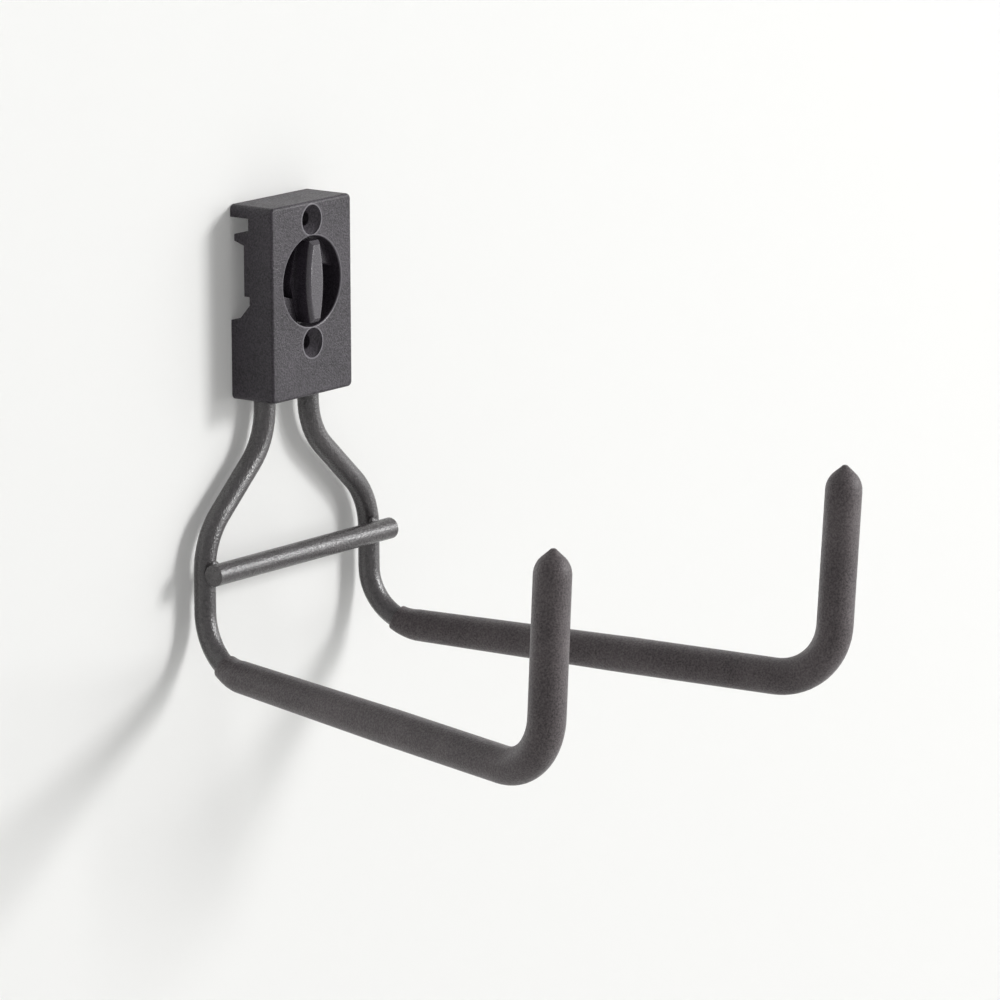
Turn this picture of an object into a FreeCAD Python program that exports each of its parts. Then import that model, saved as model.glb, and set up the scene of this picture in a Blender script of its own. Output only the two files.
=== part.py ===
import FreeCAD, Part
import math
import os
import re
import Sketcher

# Double utility hook: a moulded block with a quarter-turn lock, two bent wires joined by a welded cross bar,
# and a thick soft sleeve on each arm. Sizes are in millimetres and degrees.
# X runs along the wall, Y into it and Z up. The origin is on the wall plane, on the axis of the lock,
# midway between the two screw holes.

Vector = FreeCAD.Vector

SIZES = {
    # Moulded block: its outside, with the lock's axis measured from the top.
    "block_width": 46.5,
    "block_height": 72.0,
    "block_depth": 19.3,
    "axis_drop": 29.6,
    "corner_radius": 2.0,
    "front_edge_radius": 1.2,
    "rim_radius": 0.45,
    # Two countersunk screw holes, on the block's centre line.
    "screw_pitch": 45.5,
    "screw_hole_dia": 5.2,
    "screw_head_dia": 11.1,
    "screw_head_lip": 0.6,
    # Channel across the back: drops are measured from the block's top, depths from the wall.
    "lip_slot_drop": 4.5,
    "lip_slot_height": 4.9,
    "lip_slot_depth": 8.35,
    "nose_gap": 1.8,
    "nose_drop": 10.6,
    "nose_height": 2.5,
    "nose_slope": 1.5,
    "channel_depth": 6.2,
    "notch_drop": 33.3,
    "notch_depth": 8.6,
    "notch_height": 3.2,
    "toe_drop": 42.0,
    "toe_depth": 3.8,
    "toe_slope": 0.5,
    # Round recess of the lock and its two moulded stops.
    "recess_dia": 33.5,
    "recess_depth": 8.5,
    "stop_depth": 4.4,
    "stop_gap": 0.35,
    "stop_edge_radius": 0.4,
    # Lock knob: six-sided base, lens-shaped finger fin, split stem and the two cam lobes on it.
    "base_width": 14.7,
    "base_end_width": 6.0,
    "base_length": 31.6,
    "base_height": 3.6,
    "fin_width": 9.4,
    "fin_end_width": 5.2,
    "fin_length": 30.3,
    "fin_proud": 2.2,
    "fin_end_chamfer": 1.5,
    "fin_edge_radius": 1.9,
    "stem_dia": 6.0,
    "stem_fit": 0.08,
    "axial_play": 0.2,
    "lobe_height": 7.8,
    "lobe_width": 5.8,
    "lobe_end_width": 3.2,
    "lobe_length": 3.4,
    "lobe_lead": 0.7,
    "stem_slot": 1.4,
    "stem_slot_depth": 7.0,
    # Bent wire: drops are measured from the block's underside to the corner of each bend.
    "wire_dia": 8.0,
    "wire_fit": 0.04,
    "wire_standoff": 6.5,
    "leg_spacing": 25.4,
    "leg_insert": 24.0,
    "leg_spread": 96.5,
    "shoulder_drop": 15.6,
    "shoulder_radius": 25.3,
    "hip_drop": 47.4,
    "hip_radius": 26.9,
    "shin_drop": 66.0,
    "foot_drop": 94.1,
    "foot_radius": 21.0,
    "arm_splay": 12.1,
    "arm_slope": 2.3,
    "arm_length": 187.3,
    "front_radius": 22.7,
    "upright_lean": 3.5,
    "upright_length": 82.0,
    # Cross bar, welded to the front of both legs.
    "bar_dia": 8.0,
    "bar_length": 104.5,
    "bar_drop": 59.2,
    "bar_edge_radius": 0.4,
    "weld_sink": 0.8,
    # Sleeve: a coat that starts thin part way round the foot bend and thickens towards its drip-shaped tip.
    "sleeve_mouth_dia": 9.9,
    "sleeve_arm_dia": 11.9,
    "sleeve_taper_length": 86.0,
    "sleeve_dia": 13.6,
    "sleeve_lead_angle": 25.0,
    "sleeve_lip_radius": 0.4,
    "tip_height": 9.4,
    "tip_cone_height": 3.4,
    "tip_cone_dia": 8.8,
    "tip_blunt_dia": 1.4,
    "tip_round_radius": 1.0,
    "tip_cover": 6.0,
}

NODES = (
    "mounting_block",
    "lock_knob",
    "hook_wire_right",
    "hook_wire_left",
    "cross_bar",
    "grip_sleeve_right",
    "grip_sleeve_left",
)
CUTS = ("PartDesign::Pocket", "PartDesign::Hole", "PartDesign::SubtractivePipe")

doc = FreeCAD.newDocument("utility_hook")
sheet = doc.addObject("Spreadsheet::Sheet", "sizes")
for row, (alias, value) in enumerate(SIZES.items(), start=1):
    sheet.set(f"A{row}", alias)
    sheet.set(f"B{row}", str(value))
    sheet.setAlias(f"B{row}", alias)
doc.recompute()

# Expressions that more than one sub-part uses
BLOCK_BOTTOM = "(sizes.axis_drop - sizes.block_height)"
FRONT = "sizes.block_depth"
RECESS_FLOOR = "(sizes.block_depth - sizes.recess_depth)"
KNOB_SEAT = "(sizes.block_depth - sizes.recess_depth + sizes.axial_play)"
LOBE_SEAT = "(sizes.channel_depth - sizes.axial_play)"
LEG_TOP = f"({BLOCK_BOTTOM} + sizes.leg_insert)"
SHIN = f"({BLOCK_BOTTOM} - sizes.shin_drop)"
FOOT = f"({BLOCK_BOTTOM} - sizes.foot_drop)"


def number(text):
    """The value of an expression in sheet names, which sets where a sketch's point is first drawn."""
    plain = re.sub(r"sizes\.(\w+)", lambda name: str(SIZES[name.group(1)]), text)
    return FreeCAD.Units.Quantity(plain).Value


def new_body(label):
    body = doc.addObject("PartDesign::Body", label)
    body.Label = label
    return body


def sketch_on(body, name, role, lift=None):
    """A sketch on one of the body's origin planes, lifted along the plane's normal by an expression."""
    sketch = body.newObject("Sketcher::SketchObject", name)
    planes = [plane for plane in body.Origin.OriginFeatures if plane.Role == role]
    sketch.AttachmentSupport = (planes[0], "")
    sketch.MapMode = "FlatFace"
    if lift:
        sketch.setExpression("AttachmentOffset.Base.z", lift)
    return sketch


def section(body, name, path, edge, along, radius):
    """A round section square to one edge of a path; along is 0 at the edge's start and 1 at its end."""
    sketch = body.newObject("Sketcher::SketchObject", name)
    sketch.AttachmentSupport = (path, edge)
    sketch.MapMode = "NormalToEdge"
    sketch.MapPathParameter = along
    circle(sketch, "0", "0", radius)
    return sketch


def constrain(sketch, kind, *where):
    return sketch.addConstraint(Sketcher.Constraint(kind, *where))


def dimension(sketch, text, kind, *where):
    """A constraint whose last value is its present size and which then follows an expression."""
    index = constrain(sketch, kind, *where)
    sketch.setExpression(f"Constraints[{index}]", text)


def pin(sketch, shape, end, across, up):
    """Ties a point to the sketch's origin by two expressions, from where it is drawn."""
    point = sketch.getPoint(shape, end)
    for kind, axis, value, text in (("DistanceX", -2, point.x, across), ("DistanceY", -1, point.y, up)):
        if abs(value) < 1e-7:
            constrain(sketch, "PointOnObject", shape, end, axis)
        elif value > 0:
            dimension(sketch, text, kind, -1, 1, shape, end, value)
        else:
            dimension(sketch, f"-({text})", kind, shape, end, -1, 1, -value)


def outline(sketch, corners):
    """A closed polygon whose corners are pairs of expressions."""
    points = [Vector(number(across), number(up), 0) for across, up in corners]
    ends = points[1:] + points[:1]
    lines = [sketch.addGeometry(Part.LineSegment(a, b)) for a, b in zip(points, ends)]
    for line, following in zip(lines, lines[1:] + lines[:1]):
        constrain(sketch, "Coincident", line, 2, following, 1)
    for line, (across, up) in zip(lines, corners):
        pin(sketch, line, 1, across, up)


def circle(sketch, across, up, radius):
    centre = Vector(number(across), number(up), 0)
    size = number(radius)
    ring = sketch.addGeometry(Part.Circle(centre, Vector(0, 0, 1), size))
    pin(sketch, ring, 3, across, up)
    dimension(sketch, radius, "Radius", ring, size)


def lens(sketch, width, end_width, length):
    """An upright lens with blunt ends: two bowed sides and two short straight ones."""
    half, end, tall = (number(f"{text} / 2") for text in (width, end_width, length))
    rise = f"(({width} - {end_width}) / 2)"
    bow = f"((({length} / 2) * ({length} / 2) + {rise} * {rise}) / (2 * {rise}))"
    right = sketch.addGeometry(Part.Arc(Vector(end, -tall, 0), Vector(half, 0, 0), Vector(end, tall, 0)))
    top = sketch.addGeometry(Part.LineSegment(Vector(end, tall, 0), Vector(-end, tall, 0)))
    left = sketch.addGeometry(Part.Arc(Vector(-end, tall, 0), Vector(-half, 0, 0), Vector(-end, -tall, 0)))
    bottom = sketch.addGeometry(Part.LineSegment(Vector(-end, -tall, 0), Vector(end, -tall, 0)))
    sides = (right, top, left, bottom)
    for side, following in zip(sides, sides[1:] + sides[:1]):
        constrain(sketch, "Coincident", side, 2, following, 1)
    for line in (top, bottom):
        sign = 1 if line == top else -1
        pin(sketch, line, 1, f"{sign} * {end_width} / 2", f"{sign} * {length} / 2")
        pin(sketch, line, 2, f"{-sign} * {end_width} / 2", f"{sign} * {length} / 2")
    for arc in (right, left):
        dimension(sketch, bow, "Radius", arc, number(bow))


def pad(body, name, sketch, length, reverse=False, both_ways=False):
    feature = body.newObject("PartDesign::Pad", name)
    feature.Profile = sketch
    feature.Reversed = reverse
    if both_ways:
        feature.SideType = "Symmetric"
    feature.setExpression("Length", length)
    doc.recompute()
    return feature


def pocket(body, name, sketch, length=None, reverse=False, both_ways=False):
    """A cut to a given length, or right through the body where no length is given."""
    feature = body.newObject("PartDesign::Pocket", name)
    feature.Profile = sketch
    feature.Reversed = reverse
    if both_ways:
        feature.SideType = "Symmetric"
    if length:
        feature.setExpression("Length", length)
    else:
        feature.Type = "ThroughAll"
    doc.recompute()
    return feature


def pipe(body, kind, name, profile, path, edges):
    feature = body.newObject(f"PartDesign::{kind}", name)
    feature.Profile = profile
    feature.Spine = (path, edges)
    doc.recompute()
    return feature


def soften(body, kind, name, base, size, wanted):
    """A Fillet or Chamfer on those edges of the last feature that answer to a test."""
    feature = body.newObject(f"PartDesign::{kind}", name)
    names = [f"Edge{n}" for n, edge in enumerate(base.Shape.Edges, start=1) if wanted(edge)]
    feature.Base = (base, names)
    feature.setExpression("Radius" if kind == "Fillet" else "Size", size)
    doc.recompute()
    return feature


def in_plane(edge, y):
    first, last = edge.ParameterRange
    return all(abs(edge.valueAt(p).y - y) < 1e-5 for p in (first, (first + last) / 2, last))


def is_round(edge):
    return isinstance(edge.Curve, Part.Circle)


def is_ring(edge, radius):
    """True for a closed round edge of a given radius, also where a sweep has made it a spline."""
    return edge.isClosed() and abs(edge.Length - 2 * math.pi * radius) < 0.001 * radius


# Moulded block
def stop_chamber(sketch):
    """The deep part of the recess: two quarters of the circle, left between the two stops.

    Each stop's faces run along the flanks of the knob's base in its two end positions, a gap away.
    """
    reach = "(sizes.base_width / 2 + sizes.stop_gap)"
    taper = "((sizes.base_width - sizes.base_end_width) / sizes.base_length)"
    corner = f"({reach} / (1 + {taper}))"
    c, t, k = number(reach), number(taper), number(corner)
    radius = number("sizes.recess_dia / 2")
    far = (c * t + math.sqrt(radius ** 2 * (1 + t * t) - c * c)) / (1 + t * t)
    low, high = Vector(far, c - t * far, 0), Vector(c - t * far, far, 0)
    start = math.atan2(high.y, high.x)
    stop = math.pi + math.atan2(low.y, low.x)
    wall = Part.Circle(Vector(0, 0, 0), Vector(0, 0, 1), radius)
    shapes = []
    for sign, turn in ((1, 0), (-1, math.pi)):
        inner = Vector(sign * k, sign * k, 0)
        shapes.append(sketch.addGeometry(Part.LineSegment(low * sign, inner)))
        shapes.append(sketch.addGeometry(Part.LineSegment(inner, high * sign)))
        shapes.append(sketch.addGeometry(Part.ArcOfCircle(wall, start + turn, stop + turn)))
    for shape, following in zip(shapes, shapes[1:] + shapes[:1]):
        constrain(sketch, "Coincident", shape, 2, following, 1)
    for arc in (shapes[2], shapes[5]):
        constrain(sketch, "Coincident", arc, 3, -1, 1)
        dimension(sketch, "sizes.recess_dia / 2", "Radius", arc, radius)
    for sign, side, flank in ((1, shapes[0], shapes[1]), (-1, shapes[3], shapes[4])):
        pin(sketch, side, 2, f"{sign} * {corner}", f"{sign} * {corner}")
        for line, across, up in ((side, "0", f"{sign} * {reach}"), (flank, f"{sign} * {reach}", "0")):
            mark = sketch.addGeometry(Part.Point(Vector(number(across), number(up), 0)), True)
            pin(sketch, mark, 1, across, up)
            constrain(sketch, "PointOnObject", mark, 1, line)


def mounting_block():
    body = new_body("mounting_block")
    side, top = "sizes.block_width / 2", "sizes.axis_drop"
    plan = sketch_on(body, "block_outline", "XZ_Plane")
    outline(plan, ((f"-{side}", BLOCK_BOTTOM), (side, BLOCK_BOTTOM), (side, top), (f"-{side}", top)))
    block = pad(body, "block", plan, "sizes.block_depth")

    front = -number(FRONT)
    block = soften(body, "Fillet", "corner_rounds", block, "sizes.corner_radius",
                   lambda edge: abs(edge.tangentAt(edge.FirstParameter).y) > 0.9)
    block = soften(body, "Fillet", "front_rounds", block, "sizes.front_edge_radius",
                   lambda edge: in_plane(edge, front))

    back = sketch_on(body, "channel_section", "YZ_Plane")
    nose_end = f"{top} - sizes.nose_drop - sizes.nose_height"
    outline(back, (
        ("0", f"{top} - sizes.lip_slot_drop"),
        ("-sizes.lip_slot_depth", f"{top} - sizes.lip_slot_drop"),
        ("-sizes.lip_slot_depth", f"{top} - sizes.lip_slot_drop - sizes.lip_slot_height"),
        ("-sizes.nose_gap", f"{top} - sizes.nose_drop"),
        ("-sizes.nose_gap", nose_end),
        ("-sizes.channel_depth", f"{nose_end} - sizes.nose_slope"),
        ("-sizes.channel_depth", f"{top} - sizes.notch_drop"),
        ("-sizes.notch_depth", f"{top} - sizes.notch_drop"),
        ("-sizes.notch_depth", f"{top} - sizes.notch_drop - sizes.notch_height"),
        ("-sizes.toe_depth", f"{top} - sizes.toe_drop"),
        ("0", f"{top} - sizes.toe_drop - sizes.toe_slope"),
    ))
    pocket(body, "channel", back, both_ways=True)

    mouth = sketch_on(body, "recess_mouth", "XZ_Plane", FRONT)
    circle(mouth, "0", "0", "sizes.recess_dia / 2")
    recess = pocket(body, "recess", mouth, "sizes.stop_depth")
    soften(body, "Fillet", "rim_round", recess, "sizes.rim_radius",
           lambda edge: in_plane(edge, front) and edge.isClosed())
    chamber = sketch_on(body, "stop_chamber", "XZ_Plane", f"{FRONT} - sizes.stop_depth")
    stop_chamber(chamber)
    recess = pocket(body, "recess_floor", chamber, "sizes.recess_depth - sizes.stop_depth")
    ledge = -number(f"{FRONT} - sizes.stop_depth")
    soften(body, "Fillet", "stop_rounds", recess, "sizes.stop_edge_radius",
           lambda edge: in_plane(edge, ledge) and not is_round(edge))
    bore = sketch_on(body, "stem_bore_section", "XZ_Plane", RECESS_FLOOR)
    circle(bore, "0", "0", "sizes.stem_dia / 2 + sizes.stem_fit")
    pocket(body, "stem_bore", bore)

    heads = sketch_on(body, "screw_heads", "XZ_Plane", FRONT)
    shanks = sketch_on(body, "screw_shanks", "XZ_Plane", f"{FRONT} - sizes.screw_head_lip")
    for sign in (1, -1):
        circle(heads, "0", f"{sign} * sizes.screw_pitch / 2", "sizes.screw_head_dia / 2")
        circle(shanks, "0", f"{sign} * sizes.screw_pitch / 2", "sizes.screw_hole_dia / 2")
    pocket(body, "screw_head_lips", heads, "sizes.screw_head_lip")
    holes = body.newObject("PartDesign::Hole", "screw_holes")
    holes.Profile = shanks
    holes.ThreadType = "None"
    holes.DepthType = "ThroughAll"
    holes.HoleCutType = "Countersink"
    holes.HoleCutCustomValues = True
    holes.HoleCutCountersinkAngle = 90
    holes.setExpression("Diameter", "sizes.screw_hole_dia")
    holes.setExpression("HoleCutDiameter", "sizes.screw_head_dia")
    doc.recompute()

    legs = sketch_on(body, "leg_bore_sections", "XY_Plane", BLOCK_BOTTOM)
    for sign in (1, -1):
        circle(legs, f"{sign} * sizes.leg_spacing / 2", "-sizes.wire_standoff",
               "sizes.wire_dia / 2 + sizes.wire_fit")
    pocket(body, "leg_bores", legs, "sizes.leg_insert", reverse=True)
    return body


# Lock knob
def lock_knob():
    body = new_body("lock_knob")
    base = sketch_on(body, "base_outline", "XZ_Plane", KNOB_SEAT)
    half, end, tall = "sizes.base_width / 2", "sizes.base_end_width / 2", "sizes.base_length / 2"
    outline(base, (
        (half, "0"), (end, tall), (f"-{end}", tall),
        (f"-{half}", "0"), (f"-{end}", f"-{tall}"), (end, f"-{tall}"),
    ))
    pad(body, "base", base, "sizes.base_height")

    grip = sketch_on(body, "fin_outline", "XZ_Plane", KNOB_SEAT)
    lens(grip, "sizes.fin_width", "sizes.fin_end_width", "sizes.fin_length")
    fin = pad(body, "fin", grip, "sizes.recess_depth - sizes.axial_play + sizes.fin_proud")
    face = -number(f"{FRONT} + sizes.fin_proud")
    fin = soften(body, "Chamfer", "fin_end_chamfers", fin, "sizes.fin_end_chamfer",
                 lambda edge: in_plane(edge, face) and not is_round(edge))
    soften(body, "Fillet", "fin_rounds", fin, "sizes.fin_edge_radius",
           lambda edge: in_plane(edge, face) and is_round(edge))

    shaft = sketch_on(body, "stem_section", "XZ_Plane", KNOB_SEAT)
    circle(shaft, "0", "0", "sizes.stem_dia / 2")
    pad(body, "stem", shaft, f"{KNOB_SEAT} - {LOBE_SEAT}", reverse=True)
    cams = sketch_on(body, "lobe_outline", "XZ_Plane", LOBE_SEAT)
    lens(cams, "sizes.lobe_width", "sizes.lobe_end_width", "sizes.lobe_height")
    lobes = pad(body, "lobes", cams, "sizes.lobe_length", reverse=True)
    tail = -number(f"{LOBE_SEAT} - sizes.lobe_length")
    soften(body, "Chamfer", "lobe_leads", lobes, "sizes.lobe_lead", lambda edge: in_plane(edge, tail))

    slit = sketch_on(body, "stem_slot_section", "YZ_Plane")
    rear = f"(sizes.lobe_length - {LOBE_SEAT})"
    outline(slit, (
        (f"{rear} - sizes.stem_slot_depth", "-sizes.stem_slot / 2"), (rear, "-sizes.stem_slot / 2"),
        (rear, "sizes.stem_slot / 2"), (f"{rear} - sizes.stem_slot_depth", "sizes.stem_slot / 2"),
    ))
    pocket(body, "stem_split", slit, both_ways=True)
    return body


# Bent wire
def bent_leg(body):
    """The part of the wire in the plane of the legs: out of the block, outwards, then down the shin."""
    path = sketch_on(body, "leg_path", "XZ_Plane", "sizes.wire_standoff")
    near, far = "sizes.leg_spacing / 2", "sizes.leg_spread / 2"
    corners = (
        (near, LEG_TOP),
        (near, f"{BLOCK_BOTTOM} - sizes.shoulder_drop"),
        (far, f"{BLOCK_BOTTOM} - sizes.hip_drop"),
        (far, SHIN),
    )
    points = [Vector(number(across), number(up), 0) for across, up in corners]
    out, down = points[2] - points[1], Vector(0, -1, 0)
    turn = out.getAngle(down)
    out.normalize()
    shoulder = number("sizes.shoulder_radius")
    hip = number("sizes.hip_radius")
    first, second = shoulder * math.tan(turn / 2), hip * math.tan(turn / 2)
    starts = (points[0], points[1] + out * first, points[2] + down * second)
    stops = (points[1] - down * first, points[2] - out * second, points[3])
    centres = (stops[0] + Vector(shoulder, 0, 0), starts[2] - Vector(hip, 0, 0))
    upper = Part.Circle(centres[0], Vector(0, 0, 1), shoulder)
    lower = Part.Circle(centres[1], Vector(0, 0, 1), hip)
    run = [
        sketch_line(path, starts[0], stops[0]),
        path.addGeometry(Part.ArcOfCircle(upper, math.pi, math.pi + turn)),
        sketch_line(path, starts[1], stops[1]),
        path.addGeometry(Part.ArcOfCircle(lower, 0, turn)),
        sketch_line(path, starts[2], stops[2]),
    ]
    # The lower bend is drawn the other way round, so its ends swap places.
    for piece, end, start in ((0, 2, 1), (1, 2, 1), (2, 2, 2), (3, 1, 1)):
        constrain(path, "Tangent", run[piece], end, run[piece + 1], start)
    dimension(path, "sizes.shoulder_radius", "Radius", run[1], shoulder)
    dimension(path, "sizes.hip_radius", "Radius", run[3], hip)
    pin(path, run[0], 1, *corners[0])
    pin(path, run[4], 2, *corners[3])
    for corner, point, lines in ((corners[1], points[1], run[0:3:2]), (corners[2], points[2], run[2:5:2])):
        mark = path.addGeometry(Part.Point(point), True)
        pin(path, mark, 1, *corner)
        for line in lines:
            constrain(path, "PointOnObject", mark, 1, line)
    return path


def sketch_line(sketch, start, end):
    return sketch.addGeometry(Part.LineSegment(start, end))


def bent_arm(body, name, lead=False):
    """The part of the wire in the upright plane of the arm, drawn from the corner of the foot bend.

    The whole path starts on the shin. With a lead, it starts part way round the foot bend instead, as the
    sleeve does, and the stretches where the sleeve thickens and where its tip sits are edges of their own.
    """
    path = sketch_on(body, name, "XZ_Plane", "sizes.wire_standoff")
    path.AttachmentOffset = FreeCAD.Placement(Vector(0, 0, 0), FreeCAD.Rotation(Vector(0, -1, 0), 90))
    path.setExpression("AttachmentOffset.Base.x", "sizes.leg_spread / 2")
    path.setExpression("AttachmentOffset.Base.y", FOOT)
    path.setExpression("AttachmentOffset.Rotation.Angle", "90 - sizes.arm_splay")

    slope = math.radians(SIZES["arm_slope"])
    lean = math.radians(SIZES["upright_lean"])
    foot, front = SIZES["foot_radius"], SIZES["front_radius"]
    forth = Vector(math.cos(slope), -math.sin(slope), 0)
    above = Vector(math.sin(slope), math.cos(slope), 0)
    rise = Vector(math.sin(lean), math.cos(lean), 0)
    bottom = math.pi * 1.5 - slope
    foot_reach = foot * math.tan((math.pi / 2 - slope) / 2)
    front_reach = front * math.tan((math.pi / 2 - lean + slope) / 2)
    corner = forth * SIZES["arm_length"]
    tail = corner + rise * (SIZES["upright_length"] - SIZES["tip_cover"])
    neck = tail - rise * (SIZES["tip_height"] - SIZES["tip_cover"])
    foot_circle = Part.Circle(forth * foot_reach + above * foot, Vector(0, 0, 1), foot)
    front_circle = Part.Circle(corner - forth * front_reach + above * front, Vector(0, 0, 1), front)

    run = []
    if lead:
        start = bottom - math.radians(SIZES["sleeve_lead_angle"])
    else:
        start = math.pi
        shin = number(f"{SHIN} - {FOOT}")
        run.append(sketch_line(path, Vector(0, shin, 0), Vector(0, foot_reach, 0)))
    bend = path.addGeometry(Part.ArcOfCircle(foot_circle, start, bottom))
    arm_stops = [forth * foot_reach, corner - forth * front_reach]
    upright_stops = [corner + rise * front_reach, tail]
    if lead:
        arm_stops.insert(1, forth * (foot_reach + SIZES["sleeve_taper_length"]))
        upright_stops.insert(1, neck)
    arms = [sketch_line(path, a, b) for a, b in zip(arm_stops, arm_stops[1:])]
    turn = path.addGeometry(Part.ArcOfCircle(front_circle, bottom, 2 * math.pi - lean))
    uprights = [sketch_line(path, a, b) for a, b in zip(upright_stops, upright_stops[1:])]
    run += [bend] + arms + [turn] + uprights
    for piece, following in zip(run, run[1:]):
        constrain(path, "Tangent", piece, 2, following, 1)

    arm_x, arm_y = "sizes.arm_length * cos(sizes.arm_slope)", "-sizes.arm_length * sin(sizes.arm_slope)"
    bare = "(sizes.upright_length - sizes.tip_cover)"
    mark = path.addGeometry(Part.Point(corner), True)
    pin(path, mark, 1, arm_x, arm_y)
    constrain(path, "PointOnObject", mark, 1, arms[-1])
    constrain(path, "PointOnObject", mark, 1, uprights[0])
    constrain(path, "PointOnObject", -1, 1, arms[0])
    pin(path, uprights[-1], 2, f"{arm_x} + {bare} * sin(sizes.upright_lean)",
        f"{arm_y} + {bare} * cos(sizes.upright_lean)")
    dimension(path, "sizes.foot_radius", "Radius", bend, foot)
    dimension(path, "sizes.front_radius", "Radius", turn, front)
    if lead:
        dimension(path, "sizes.foot_radius", "DistanceX", -1, 1, bend, 3, foot)
        dimension(path, "sizes.sleeve_lead_angle", "Angle", bend, bottom - start)
        dimension(path, "sizes.sleeve_taper_length", "Distance", arms[0], SIZES["sleeve_taper_length"])
        dimension(path, "sizes.tip_height - sizes.tip_cover", "Distance", uprights[1], (tail - neck).Length)
    else:
        constrain(path, "Vertical", run[0])
        pin(path, run[0], 1, "0", f"{SHIN} - {FOOT}")
    return path


def hook_wire():
    body = new_body("hook_wire_right")
    radius = "sizes.wire_dia / 2"
    leg = bent_leg(body)
    doc.recompute()
    pipe(body, "AdditivePipe", "leg", section(body, "leg_section", leg, "Edge1", 0, radius),
         leg, [f"Edge{n}" for n in range(1, 6)])
    arm = bent_arm(body, "arm_path")
    doc.recompute()
    pipe(body, "AdditivePipe", "arm", section(body, "arm_section", arm, "Edge1", 0, radius),
         arm, [f"Edge{n}" for n in range(1, 6)])
    return body


# Cross bar
def cross_bar():
    body = new_body("cross_bar")
    profile = sketch_on(body, "bar_section", "YZ_Plane")
    circle(profile, "sizes.weld_sink - sizes.wire_standoff - sizes.wire_dia / 2 - sizes.bar_dia / 2",
           f"{BLOCK_BOTTOM} - sizes.bar_drop", "sizes.bar_dia / 2")
    bar = pad(body, "bar", profile, "sizes.bar_length", both_ways=True)
    soften(body, "Fillet", "bar_end_rounds", bar, "sizes.bar_edge_radius", is_round)
    saddles = sketch_on(body, "weld_saddles", "XY_Plane")
    for sign in (1, -1):
        circle(saddles, f"{sign} * sizes.leg_spread / 2", "-sizes.wire_standoff",
               "sizes.wire_dia / 2 + sizes.wire_fit")
    pocket(body, "weld_seats", saddles, both_ways=True)
    return body


# Soft sleeve
def tip_profile(sketch):
    """Half of the drip-shaped tip, turned about the sketch's second axis.

    That axis runs back down the upright from the wire's end, so the point of the tip is below zero.
    """
    point, shoulder = "-sizes.tip_cover", "(sizes.tip_cone_height - sizes.tip_cover)"
    neck = "(sizes.tip_height - sizes.tip_cover)"
    full, cone, blunt = "sizes.sleeve_dia / 2", "sizes.tip_cone_dia / 2", "sizes.tip_blunt_dia / 2"
    corners = (("0", point), (blunt, point), (cone, shoulder), (full, neck), ("0", neck))
    points = [Vector(number(across), number(up), 0) for across, up in corners]
    # The side is square to the neck, so its bow follows from the chord between its two ends.
    inset, climb = points[3].x - points[2].x, points[3].y - points[2].y
    bow = (inset ** 2 + climb ** 2) / (2 * inset)
    side = Part.Circle(points[3] - Vector(bow, 0, 0), Vector(0, 0, 1), bow)
    run = [
        sketch_line(sketch, points[0], points[1]),
        sketch_line(sketch, points[1], points[2]),
        sketch.addGeometry(Part.ArcOfCircle(side, -math.atan2(climb, bow - inset), 0)),
        sketch_line(sketch, points[3], points[4]),
        sketch_line(sketch, points[4], points[0]),
    ]
    for piece, following in zip(run, run[1:] + run[:1]):
        constrain(sketch, "Coincident", piece, 2, following, 1)
    for piece, corner in zip(run, corners):
        pin(sketch, piece, 1, *corner)
    constrain(sketch, "PointOnObject", run[2], 3, run[3])


def grip_sleeve():
    body = new_body("grip_sleeve_right")
    path = bent_arm(body, "sleeve_path", lead=True)
    doc.recompute()
    mouth, thin, thick = "sizes.sleeve_mouth_dia / 2", "sizes.sleeve_arm_dia / 2", "sizes.sleeve_dia / 2"
    start = section(body, "mouth_section", path, "Edge1", 0, mouth)
    flared = section(body, "flared_section", path, "Edge1", 1, thin)
    doc.recompute()
    flare = body.newObject("PartDesign::AdditivePipe", "sleeve_flare")
    flare.Profile = start
    flare.Spine = (path, ["Edge1"])
    flare.Transformation = "Multisection"
    flare.Sections = [(flared, [""])]
    doc.recompute()
    taper = body.newObject("PartDesign::AdditiveLoft", "sleeve_arm")
    taper.Profile = section(body, "arm_start_section", path, "Edge2", 0, thin)
    taper.Sections = [(section(body, "arm_end_section", path, "Edge2", 1, thick), [""])]
    doc.recompute()
    pipe(body, "AdditivePipe", "sleeve_front", section(body, "front_section", path, "Edge3", 0, thick),
         path, ["Edge3", "Edge4", "Edge5"])

    end = section(body, "tip_section", path, "Edge6", 1, thick)
    doc.recompute()
    profile = body.newObject("Sketcher::SketchObject", "tip_profile")
    profile.AttachmentSupport = (end, "")
    profile.MapMode = "ObjectXZ"
    tip_profile(profile)
    tip = body.newObject("PartDesign::Revolution", "sleeve_tip")
    tip.Profile = profile
    tip.ReferenceAxis = (profile, ["V_Axis"])
    doc.recompute()

    hollow = section(body, "bore_section", path, "Edge1", 0, "sizes.wire_dia / 2 + sizes.wire_fit")
    sleeve = pipe(body, "SubtractivePipe", "wire_bore", hollow, path, [f"Edge{n}" for n in range(1, 7)])
    sleeve = soften(body, "Fillet", "sleeve_lip", sleeve, "sizes.sleeve_lip_radius",
                    lambda edge: is_ring(edge, number(mouth)))
    soften(body, "Fillet", "tip_round", sleeve, "sizes.tip_round_radius",
           lambda edge: is_ring(edge, number("sizes.tip_blunt_dia / 2")))
    return body


def mirrored(body, label):
    """The same piece for the other side of the hook."""
    twin = doc.addObject("Part::Mirroring", label)
    twin.Label = label
    twin.Source = body
    twin.Normal = Vector(1, 0, 0)
    return twin


mounting_block()
lock_knob()
mirrored(hook_wire(), "hook_wire_left")
cross_bar()
mirrored(grip_sleeve(), "grip_sleeve_left")
doc.recompute()

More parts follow.
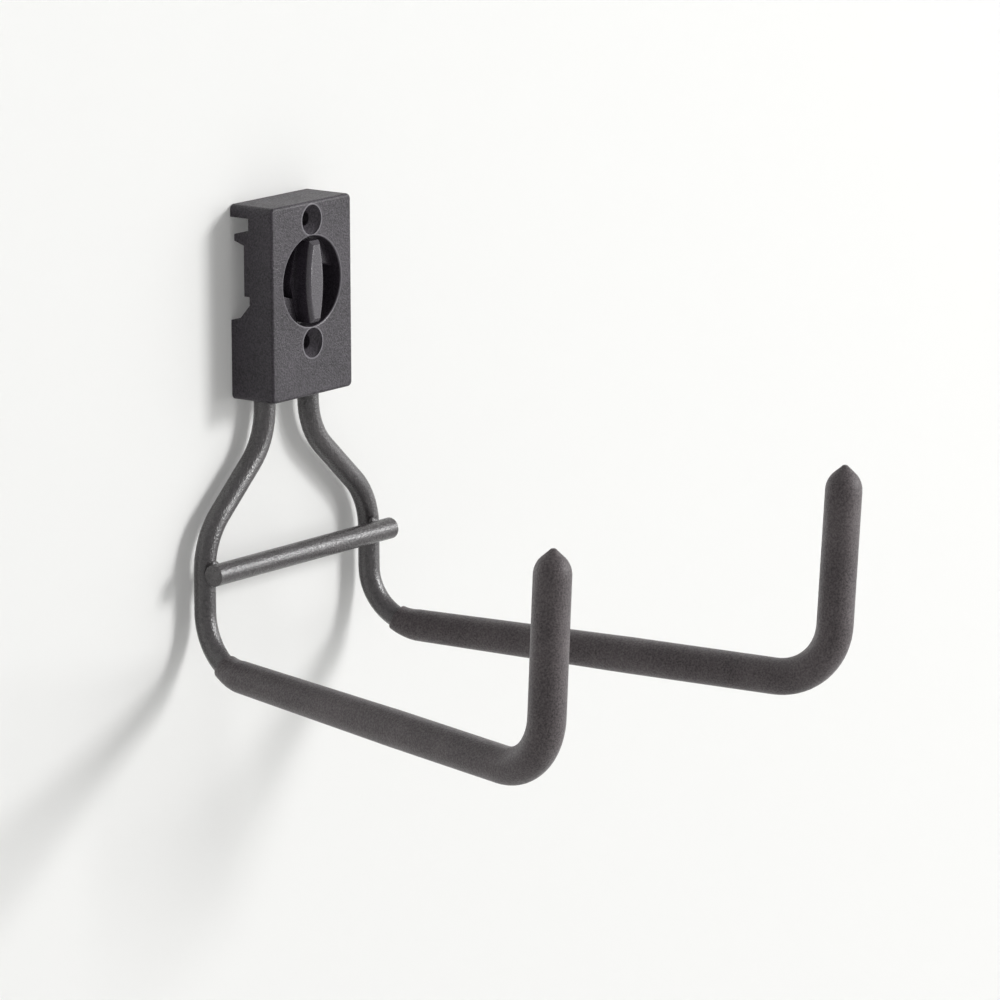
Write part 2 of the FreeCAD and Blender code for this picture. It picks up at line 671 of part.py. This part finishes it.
faults = [item.Name for item in doc.Objects if "Invalid" in item.State or "Error" in item.State]
for item in doc.Objects:
    if item.TypeId in CUTS and item.Shape.Volume > item.BaseFeature.Shape.Volume - 1e-3:
        faults.append(f"{item.Name} cuts nothing")
shapes = {}
for label in NODES:
    shape = doc.getObjectsByLabel(label)[0].Shape
    if shape.isNull() or not shape.isValid() or len(shape.Solids) != 1:
        faults.append(f"{label} is not one sound solid")
    shapes[label] = shape
if faults:
    raise RuntimeError(", ".join(faults))

os.makedirs("parts", exist_ok=True)
for label, shape in shapes.items():
    shape.exportStep(f"parts/{label}.step")
    print(f"{label}: {shape.Volume / 1000:.2f} cm3")
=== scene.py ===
# %% [markdown]
# # A utility hook with a quarter-turn lock
#
# This file dresses a hook that was modelled in CAD: a moulded block, a lock knob, two bent and coated
# steel wires with a bar welded across them, and a soft sleeve on each arm. The CAD pieces come in as a
# fixed frame in metres, with X along the wall, Y into it and Z up, so nothing here has to be placed by eye.
# The cells below make the camera, the stage, the light, the shared effects, the four finishes and the
# welds, in that order.

# %% Load the frame
import math

import bmesh
import bpy
from mathutils import Matrix, Vector


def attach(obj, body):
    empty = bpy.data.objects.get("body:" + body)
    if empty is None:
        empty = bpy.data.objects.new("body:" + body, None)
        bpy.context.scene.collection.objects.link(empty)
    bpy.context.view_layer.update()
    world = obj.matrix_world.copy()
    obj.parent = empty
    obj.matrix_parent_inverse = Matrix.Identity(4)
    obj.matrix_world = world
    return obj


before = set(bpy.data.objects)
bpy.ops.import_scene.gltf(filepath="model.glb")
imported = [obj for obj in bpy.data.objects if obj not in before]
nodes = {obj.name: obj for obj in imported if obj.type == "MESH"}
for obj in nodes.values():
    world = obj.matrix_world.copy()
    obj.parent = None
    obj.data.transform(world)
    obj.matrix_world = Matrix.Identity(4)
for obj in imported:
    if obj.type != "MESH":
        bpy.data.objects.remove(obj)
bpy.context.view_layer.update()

MM = 0.001

# %% [markdown]
# ## Camera
#
# A product photograph taken from far away with a long lens has almost parallel edges. Matching it means
# matching the direction first, then the distance, then the focal length. The direction is given here as
# three turns, the way a tripod head has them: pan, tilt and a very small roll. A lens in millimetres is
# the sensor's width times the focal length in frame widths, so the frame itself needs no pixels.

# %% Aim the camera
CAMERA_PLACE = Vector((-1896.7, -1538.1, 422.5)) * MM
CAMERA_PAN = math.radians(52.92)
CAMERA_TILT = math.radians(11.73)
CAMERA_ROLL = math.radians(0.25)
FOCAL_IN_FRAME_WIDTHS = 6.754
SENSOR_WIDTH = 36.0

camera = bpy.data.objects.new("camera", bpy.data.cameras.new("camera"))
camera.data.sensor_width = SENSOR_WIDTH
camera.data.lens = FOCAL_IN_FRAME_WIDTHS * SENSOR_WIDTH
camera.data.clip_start = 0.1
camera.data.clip_end = 20.0
pan_and_tilt = Matrix.Rotation(-CAMERA_PAN, 4, "Z") @ Matrix.Rotation(math.pi / 2 - CAMERA_TILT, 4, "X")
roll = Matrix.Rotation(-CAMERA_ROLL, 4, "Z")
camera.matrix_world = Matrix.Translation(CAMERA_PLACE) @ pan_and_tilt @ roll
bpy.context.scene.collection.objects.link(camera)
bpy.context.scene.camera = camera
print("lens", round(camera.data.lens, 1), "mm")

# %% [markdown]
# ## Stage
#
# The hook belongs on a wall, so the backdrop is a pale wall just behind the block, with a pale floor far
# below. More lamp power would make both whiter and the hook too pale. So each has a faint glow that only
# the camera and reflections see. The Light Path node tells such rays from the rays that carry light from
# one surface to the next.

# %% A strength for what is seen directly
def seen_directly(tree, base, extra):
    """A strength that is larger by an extra amount for the camera, and in reflections and glass."""
    ray = tree.nodes.new("ShaderNodeLightPath")
    seen = ray.outputs["Is Camera Ray"]
    for kind in ("Is Glossy Ray", "Is Transmission Ray"):
        either = tree.nodes.new("ShaderNodeMath")
        either.operation = "MAXIMUM"
        tree.links.new(seen, either.inputs[0])
        tree.links.new(ray.outputs[kind], either.inputs[1])
        seen = either.outputs["Value"]
    strength = tree.nodes.new("ShaderNodeMath")
    strength.operation = "MULTIPLY_ADD"
    strength.inputs[1].default_value = extra
    strength.inputs[2].default_value = base
    tree.links.new(seen, strength.inputs[0])
    return strength.outputs["Value"]


print("ready to make things that glow only where they are seen directly")

# %% [markdown]
# Wall paint is as matt as paint gets: rough, and with no mirror part at all. A wall this near would hide
# the hook from behind, so its rear side can be made clear: Geometry's Backfacing switches the surface to a
# Transparent shader there.

# %% Matt paint
PAINT_ROUGHNESS = 0.9


def pale_paint(name, color, glow, see_through_back):
    """Matt paint; its glow shows only to the camera and in reflections, and its rear side can be clear."""
    material = bpy.data.materials.new(name)
    material.use_nodes = True
    tree = material.node_tree
    paint = tree.nodes["Principled BSDF"]
    paint.inputs["Base Color"].default_value = (*color, 1.0)
    paint.inputs["Roughness"].default_value = PAINT_ROUGHNESS
    paint.inputs["Specular IOR Level"].default_value = 0.0
    paint.inputs["Emission Color"].default_value = (*color, 1.0)
    tree.links.new(seen_directly(tree, 0.0, glow), paint.inputs["Emission Strength"])
    if see_through_back:
        clear = tree.nodes.new("ShaderNodeBsdfTransparent")
        side = tree.nodes.new("ShaderNodeNewGeometry")
        switch = tree.nodes.new("ShaderNodeMixShader")
        tree.links.new(side.outputs["Backfacing"], switch.inputs["Fac"])
        tree.links.new(paint.outputs["BSDF"], switch.inputs[1])
        tree.links.new(clear.outputs["BSDF"], switch.inputs[2])
        tree.links.new(switch.outputs["Shader"], tree.nodes["Material Output"].inputs["Surface"])
    return material


wall_paint = pale_paint("wall_paint", (0.79, 0.79, 0.777), 0.14, True)
floor_paint = pale_paint("floor_paint", (0.80, 0.80, 0.79), 0.25, False)
print("paints", wall_paint.name, floor_paint.name)

# %% [markdown]
# Both sheets are one-face grids. The wall takes no part in shadow and bounce rays, because it would keep
# light off the hook's back. It still receives the hook's shadow, which is what ties the hook to it.

# %% Wall and floor
WALL_GAP = 0.3 * MM
FLOOR_DROP = 0.55
STAGE_SIZE = 6.0


def stage_sheet(name, matrix, material):
    """A square sheet for the stage, with its material."""
    shape = bmesh.new()
    bmesh.ops.create_grid(shape, x_segments=1, y_segments=1, size=STAGE_SIZE / 2, matrix=matrix)
    mesh = bpy.data.meshes.new(name)
    shape.to_mesh(mesh)
    shape.free()
    sheet = bpy.data.objects.new(name, mesh)
    bpy.context.scene.collection.objects.link(sheet)
    mesh.materials.append(material)
    return sheet


facing_out = Matrix.Translation((0, WALL_GAP, 0)) @ Matrix.Rotation(math.pi / 2, 4, "X")
wall = stage_sheet("wall", facing_out, wall_paint)
wall.visible_diffuse = False
wall.visible_shadow = False
floor = stage_sheet("floor", Matrix.Translation((0, 0, -FLOOR_DROP)), floor_paint)
print("stage", wall.name, floor.name)

# %% [markdown]
# ## Light
#
# A key box stands high in front and to the right. It gives the shadows on the wall: narrow and firm beside
# the legs, broad and faint below the arms. A tall strip box below it draws the long highlights on the
# upright legs, and a very broad box further to the right keeps the shadows from going black. The wall sends
# no light back here, so a weak box behind it stands in for that, and a pale surround fills the rest. The
# large boxes stand nine metres off, so light falls on the near and far ends of the arms alike.

# %% Soft boxes
AIM = Vector((0.0, -0.06, -0.06))
FAR_OFF = 9.0
CLOSE_BEHIND = 3.0


def soft_box(name, direction, distance, width, height, power):
    """A rectangular area light that stands off along a direction and looks back at the hook."""
    lamp = bpy.data.lights.new(name, "AREA")
    lamp.shape = "RECTANGLE"
    lamp.size = width
    lamp.size_y = height
    lamp.energy = power
    box = bpy.data.objects.new(name, lamp)
    away = Vector(direction).normalized()
    box.location = AIM + away * distance
    box.rotation_euler = (-away).to_track_quat("-Z", "Y").to_euler()
    box.visible_camera = False
    bpy.context.scene.collection.objects.link(box)
    return box


soft_box("key_box", (0.78, -1.0, 0.46), FAR_OFF, 2.1, 2.1, 410.0)
soft_box("strip_box", (0.56, -1.0, 0.02), FAR_OFF, 1.6, 5.0, 180.0)
soft_box("side_box", (1.5, -1.0, 0.3), FAR_OFF, 7.0, 7.0, 250.0)
soft_box("wall_glow", (0.0, 1.0, 0.0), CLOSE_BEHIND, 1.5, 1.5, 16.0)
print("lamps", [lamp.name for lamp in bpy.data.lights])

# %% [markdown]
# The surround is the world: one white colour whose strength decides how much it fills the shadows. It is
# shown a little stronger than it shines, so the views from the sides have a pale background too. The
# Standard view transform then shows each colour about as it is written.

# %% Pale surround
SURROUND_FILL = 0.33
SURROUND_SHOWN_EXTRA = 0.24

world = bpy.data.worlds.new("surround")
world.use_nodes = True
surround = world.node_tree.nodes["Background"]
surround.inputs["Color"].default_value = (1.0, 1.0, 1.0, 1.0)
surround_strength = seen_directly(world.node_tree, SURROUND_FILL, SURROUND_SHOWN_EXTRA)
world.node_tree.links.new(surround_strength, surround.inputs["Strength"])
bpy.context.scene.world = world
bpy.context.scene.view_settings.view_transform = "Standard"
print("world", world.name)

# %% [markdown]
# ## Shared effects
#
# Each of the four finishes is a plain dark colour broken up by something small: spark-eroded plastic,
# powder coat and soft foam differ in the size and depth of their grain. What they share is made once, as
# node groups whose inputs carry the differences. A few helpers keep the groups readable: one opens an empty
# group, and the others place a node and either link or set its inputs.

# %% Helpers for node trees
def shader_group(name, inputs, outputs):
    """An empty shader node group with float sockets; returns the tree, its input and its output node."""
    group = bpy.data.node_groups.new(name, "ShaderNodeTree")
    for socket_name, value in inputs:
        socket = group.interface.new_socket(socket_name, in_out="INPUT", socket_type="NodeSocketFloat")
        socket.default_value = value
    for socket_name in outputs:
        group.interface.new_socket(socket_name, in_out="OUTPUT", socket_type="NodeSocketFloat")
    return group, group.nodes.new("NodeGroupInput"), group.nodes.new("NodeGroupOutput")


def feed(tree, value, socket):
    """Set an input to a number, or link it to another node's output."""
    if isinstance(value, (int, float)):
        socket.default_value = value
    else:
        tree.links.new(value, socket)


def math_node(tree, operation, first, second):
    """A Math node; each of its two inputs is an output to link or a number to set."""
    node = tree.nodes.new("ShaderNodeMath")
    node.operation = operation
    feed(tree, first, node.inputs[0])
    feed(tree, second, node.inputs[1])
    return node.outputs["Value"]


def map_range(tree, value, start, end, to_start=0.0, to_end=1.0):
    """A Map Range node that turns start to end into another range and clamps what lies outside."""
    node = tree.nodes.new("ShaderNodeMapRange")
    node.inputs["From Min"].default_value = start
    node.inputs["From Max"].default_value = end
    node.inputs["To Min"].default_value = to_start
    node.inputs["To Max"].default_value = to_end
    tree.links.new(value, node.inputs["Value"])
    return node.outputs["Result"]


def noise_node(tree, repeats, detail):
    """Noise on Object coordinates, with so many repeats to the metre."""
    place = tree.nodes.new("ShaderNodeTexCoord")
    noise = tree.nodes.new("ShaderNodeTexNoise")
    noise.inputs["Detail"].default_value = detail
    tree.links.new(place.outputs["Object"], noise.inputs["Vector"])
    feed(tree, repeats, noise.inputs["Scale"])
    return noise.outputs["Fac"]


print("node helpers ready")

# %% [markdown]
# Grain on a moulding or a coat is never one regular wave. Here it is one noise of the grain's own size with
# a second, finer one between its bumps. The height goes into a bump later, and a mask of the tops lets the
# finish be paler and smoother there, as high spots are. Object coordinates are metres here, so the size of
# a grain can be given as it would be measured.

# %% Fine grain
FINER_BY = 2.6
TOPS_START, TOPS_END = 0.36, 0.64


def make_grain():
    """Fine grain: rounded bumps of one size with smaller ones between them, and a mask of their tops."""
    inputs = [("Size", 0.5 * MM), ("Unevenness", 0.4)]
    group, given, made = shader_group("fine_grain", inputs, ["Height", "Specks"])
    repeats = math_node(group, "DIVIDE", 1.0, given.outputs["Size"])
    coarse = noise_node(group, repeats, 1.0)
    fine = noise_node(group, math_node(group, "MULTIPLY", repeats, FINER_BY), 1.0)
    small = math_node(group, "MULTIPLY", fine, given.outputs["Unevenness"])
    whole = math_node(group, "ADD", 1.0, given.outputs["Unevenness"])
    height = math_node(group, "DIVIDE", math_node(group, "ADD", coarse, small), whole)
    group.links.new(height, made.inputs["Height"])
    group.links.new(map_range(group, height, TOPS_START, TOPS_END), made.inputs["Specks"])
    return group


fine_grain = make_grain()
print("group", fine_grain.name)

# %% [markdown]
# Handling and uneven cooling make any moulding or coat a little paler in one place than in another. A slow
# noise with a few octaves does that, and keeps a large face from looking like a flat fill.

# %% Slow drift
DRIFT_START, DRIFT_END = 0.3, 0.7
DRIFT_DETAIL = 3.0


def make_drift():
    """Slow drift: a soft mask from 0 to 1 that changes over centimetres."""
    group, given, made = shader_group("slow_drift", [("Size", 20 * MM)], ["Mask"])
    repeats = math_node(group, "DIVIDE", 1.0, given.outputs["Size"])
    drift = noise_node(group, repeats, DRIFT_DETAIL)
    group.links.new(map_range(group, drift, DRIFT_START, DRIFT_END), made.inputs["Mask"])
    return group


slow_drift = make_drift()
print("group", slow_drift.name)

# %% [markdown]
# Fingers and tools rub the rim of a hole smooth, and its rounding catches a thin line of light, which is
# painted onto it here as a paler tone. A rim is a circle in the block's front face, so the distance to it
# can
# be worked out from the coordinates alone: once across the face to the circle, and once in depth. That needs
# no painted mask, and it fits the rim exactly.

# %% Rubbed rims and their painted highlight
RIM_FADE_START = 0.5


def hypotenuse(tree, first, second):
    """The root of the sum of two squares, from Math nodes."""
    squares = [math_node(tree, "MULTIPLY", side, side) for side in (first, second)]
    return math_node(tree, "POWER", math_node(tree, "ADD", *squares), 0.5)


def make_rim():
    """Rim mask: 1 on a circle round the Y direction in the block's front face, and 0 a little way off it."""
    inputs = [("Height", 0.0), ("Radius", 10 * MM), ("Front", 0.0), ("Width", 1 * MM)]
    group, given, made = shader_group("rim_mask", inputs, ["Mask"])
    place = group.nodes.new("ShaderNodeTexCoord")
    axes = group.nodes.new("ShaderNodeSeparateXYZ")
    group.links.new(place.outputs["Object"], axes.inputs["Vector"])
    up = math_node(group, "SUBTRACT", axes.outputs["Z"], given.outputs["Height"])
    from_axis = hypotenuse(group, axes.outputs["X"], up)
    outward = math_node(group, "SUBTRACT", from_axis, given.outputs["Radius"])
    inward = math_node(group, "SUBTRACT", axes.outputs["Y"], given.outputs["Front"])
    away = math_node(group, "DIVIDE", hypotenuse(group, outward, inward), given.outputs["Width"])
    group.links.new(map_range(group, away, RIM_FADE_START, 1.0, 1.0, 0.0), made.inputs["Mask"])
    return group


rim_mask = make_rim()
print("group", rim_mask.name)

# %% [markdown]
# ## Finishes
#
# All four finishes are one recipe with different numbers, so the recipe is a function. The slow drift and
# the tops of the grain together say how worn a spot is, and that moves the colour from a darker to a paler
# tone and the roughness from dull to shiny. The grain's height goes into a Bump node. On the block the rims
# are flattened and smoothed on top of that, and made paler: a painted highlight along the rounded rims.

# %% Rims of the block
BLOCK_FRONT = min(corner[1] for corner in nodes["mounting_block"].bound_box)
RECESS_RADIUS = 16.75 * MM
SCREW_HEAD_RADIUS = 5.55 * MM
SCREW_HEIGHT = 22.75 * MM
BLOCK_RIMS = [(0.0, RECESS_RADIUS), (SCREW_HEIGHT, SCREW_HEAD_RADIUS), (-SCREW_HEIGHT, SCREW_HEAD_RADIUS)]
RIM_WIDTH = 0.7 * MM


def placed_group(tree, group, **values):
    """A group node with the values of its inputs."""
    node = tree.nodes.new("ShaderNodeGroup")
    node.node_tree = group
    for name, value in values.items():
        node.inputs[name].default_value = value
    return node


def rim_socket(tree, rims):
    """One mask for several rims, each given as the height of its axis and its radius."""
    whole = 0.0
    for height, radius in rims:
        ring = placed_group(tree, rim_mask, Height=height, Radius=radius, Front=BLOCK_FRONT, Width=RIM_WIDTH)
        whole = math_node(tree, "MAXIMUM", ring.outputs["Mask"], whole)
    return whole


print("block front at", round(BLOCK_FRONT / MM, 2), "mm, rims", len(BLOCK_RIMS))

# %% [markdown]
# The recipe itself comes next. A number that is the same all over a piece, such as the specular level, is
# set on the shader's own socket, because only what changes over the surface needs nodes.

# %% Recipe for a dark grained finish
DRIFT_SHARE = 0.3
SPECK_SHARE = 0.7
# Paler tone for the rims: a painted highlight, the line of light that the rounded rims catch.
RIM_HIGHLIGHT_TONE = (0.16, 0.15, 0.168)
RIM_SMOOTHER_BY = 0.10
GRAIN_MIDDLE = 0.5


def color_mix(tree, factor):
    """A Mix node for colours that is driven by a mask."""
    mix = tree.nodes.new("ShaderNodeMix")
    mix.data_type = "RGBA"
    tree.links.new(factor, mix.inputs["Factor"])
    return mix


def dark_finish(name, tones, gloss, specular, grain_size, unevenness, grain_depth, drift_size, rims=()):
    """A dark grained finish: tone and roughness follow drift and grain, and the grain goes into a bump."""
    material = bpy.data.materials.new(name)
    material.use_nodes = True
    tree = material.node_tree
    surface = tree.nodes["Principled BSDF"]
    surface.inputs["Specular IOR Level"].default_value = specular

    drift = placed_group(tree, slow_drift, Size=drift_size)
    grain = placed_group(tree, fine_grain, Size=grain_size, Unevenness=unevenness)
    slow = math_node(tree, "MULTIPLY", drift.outputs["Mask"], DRIFT_SHARE)
    quick = math_node(tree, "MULTIPLY", grain.outputs["Specks"], SPECK_SHARE)
    worn = math_node(tree, "ADD", slow, quick)

    tone = color_mix(tree, worn)
    tone.inputs["A"].default_value = (*tones[0], 1.0)
    tone.inputs["B"].default_value = (*tones[1], 1.0)
    color = tone.outputs["Result"]
    shine = map_range(tree, worn, 0.0, 1.0, *gloss)
    height = grain.outputs["Height"]
    if rims:
        rim = rim_socket(tree, rims)
        plain = math_node(tree, "SUBTRACT", 1.0, rim)
        height = math_node(tree, "MULTIPLY", math_node(tree, "SUBTRACT", height, GRAIN_MIDDLE), plain)
        shine = math_node(tree, "SUBTRACT", shine, math_node(tree, "MULTIPLY", rim, RIM_SMOOTHER_BY))
        # The rims are made paler here: a painted highlight along their rounding.
        rim_highlight = color_mix(tree, rim)
        rim_highlight.inputs["B"].default_value = (*RIM_HIGHLIGHT_TONE, 1.0)
        tree.links.new(color, rim_highlight.inputs["A"])
        color = rim_highlight.outputs["Result"]

    bump = tree.nodes.new("ShaderNodeBump")
    bump.inputs["Distance"].default_value = grain_depth
    tree.links.new(height, bump.inputs["Height"])
    tree.links.new(bump.outputs["Normal"], surface.inputs["Normal"])
    tree.links.new(color, surface.inputs["Base Color"])
    tree.links.new(shine, surface.inputs["Roughness"])
    return material


def dress(finish, *names):
    """Put a finish on CAD nodes, in place of what they came with."""
    for name in names:
        slots = nodes[name].data.materials
        slots.clear()
        slots.append(finish)
    print(finish.name, "on", ", ".join(names))


# %% [markdown]
# ### Block and knob
#
# The block is black plastic from a spark-eroded mould: matt, with a fine even grain that breaks up every
# highlight, and rubbed smooth round its holes, where a paler tone paints the highlight of the rounded rims.
# The lock knob is the same plastic from a smoother mould, so it has a shallow grain, a narrower range of
# tones and more shine.

# %% Two plastics
block_plastic = dark_finish(
    "block_plastic", tones=((0.008, 0.006, 0.009), (0.065, 0.055, 0.069)), gloss=(0.52, 0.37), specular=0.43,
    grain_size=0.7 * MM, unevenness=0.4, grain_depth=0.22 * MM, drift_size=15 * MM, rims=BLOCK_RIMS)
knob_plastic = dark_finish(
    "knob_plastic", tones=((0.032, 0.027, 0.035), (0.070, 0.060, 0.076)), gloss=(0.30, 0.20), specular=0.8,
    grain_size=0.8 * MM, unevenness=0.3, grain_depth=0.06 * MM, drift_size=8 * MM)
dress(block_plastic, "mounting_block")
dress(knob_plastic, "lock_knob")

# %% [markdown]
# ### Wire
#
# The wire has a graphite powder coat. Powder melts into a skin with a slight orange peel, which turns the
# highlight along a round wire into specks. So this finish has the deepest bump and a strong specular level,
# over tones that reach almost to black.

# %% Powder coat
wire_coat = dark_finish(
    "wire_coat", tones=((0.003, 0.001, 0.002), (0.088, 0.079, 0.082)), gloss=(0.40, 0.15), specular=0.95,
    grain_size=0.75 * MM, unevenness=0.4, grain_depth=0.26 * MM, drift_size=12 * MM)
dress(wire_coat, "hook_wire_left", "hook_wire_right", "cross_bar")

# %% [markdown]
# ### Sleeves
#
# The sleeves are a soft, dry coat with a foam-like skin. It has only a dull shine, and it goes paler where
# it turns away, as cloth and foam do. The Principled shader's sheen does that, and no texture could.

# %% Foam skin
sleeve_foam = dark_finish(
    "sleeve_foam", tones=((0.040, 0.032, 0.035), (0.164, 0.142, 0.146)), gloss=(0.56, 0.42), specular=0.35,
    grain_size=0.7 * MM, unevenness=0.5, grain_depth=0.20 * MM, drift_size=18 * MM)
foam = sleeve_foam.node_tree.nodes["Principled BSDF"]
foam.inputs["Sheen Weight"].default_value = 0.20
foam.inputs["Sheen Roughness"].default_value = 0.5
dress(sleeve_foam, "grip_sleeve_left", "grip_sleeve_right")

# %% [markdown]
# ## Welds
#
# The bar is pressed onto the legs while a current melts the two round wires where they touch, so a little
# steel is squeezed out above and below the bar and then coated with the rest. Each weld is a squashed ball
# with a few lumps in it. It sits in the crevice and overlaps both wires, as a weld does.

# %% Weld flash at both crossings
WELD_PLACES = {"weld_left": (-47.4, -9.9, -101.6), "weld_right": (46.7, -9.9, -101.6)}
WELD_RADII = (3.2, 1.7, 4.9)
LUMP = 0.07
RIPPLE = 0.05


def weld_flash(name, place):
    """A lumpy ellipsoid in the crevice between the bar and a leg, in millimetres from the origin."""
    shape = bmesh.new()
    bmesh.ops.create_icosphere(shape, subdivisions=4, radius=1.0)
    for vertex in shape.verts:
        x, y, z = vertex.co
        lumps = LUMP * math.sin(7.0 * x + 1.3) * math.cos(5.0 * z)
        ripples = RIPPLE * math.sin(11.0 * z + 4.0 * x)
        swell = 1.0 + lumps + ripples
        vertex.co = Vector([(at + radius * swell * step) * MM
                            for at, radius, step in zip(place, WELD_RADII, (x, y, z))])
    bmesh.ops.recalc_face_normals(shape, faces=shape.faces)
    for face in shape.faces:
        face.smooth = True
    mesh = bpy.data.meshes.new(name)
    shape.to_mesh(mesh)
    shape.free()
    weld = bpy.data.objects.new(name, mesh)
    bpy.context.scene.collection.objects.link(weld)
    mesh.materials.append(wire_coat)
    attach(weld, "hook")
    return weld


welds = [weld_flash(name, place) for name, place in WELD_PLACES.items()]
print("welds", [weld.name for weld in welds])
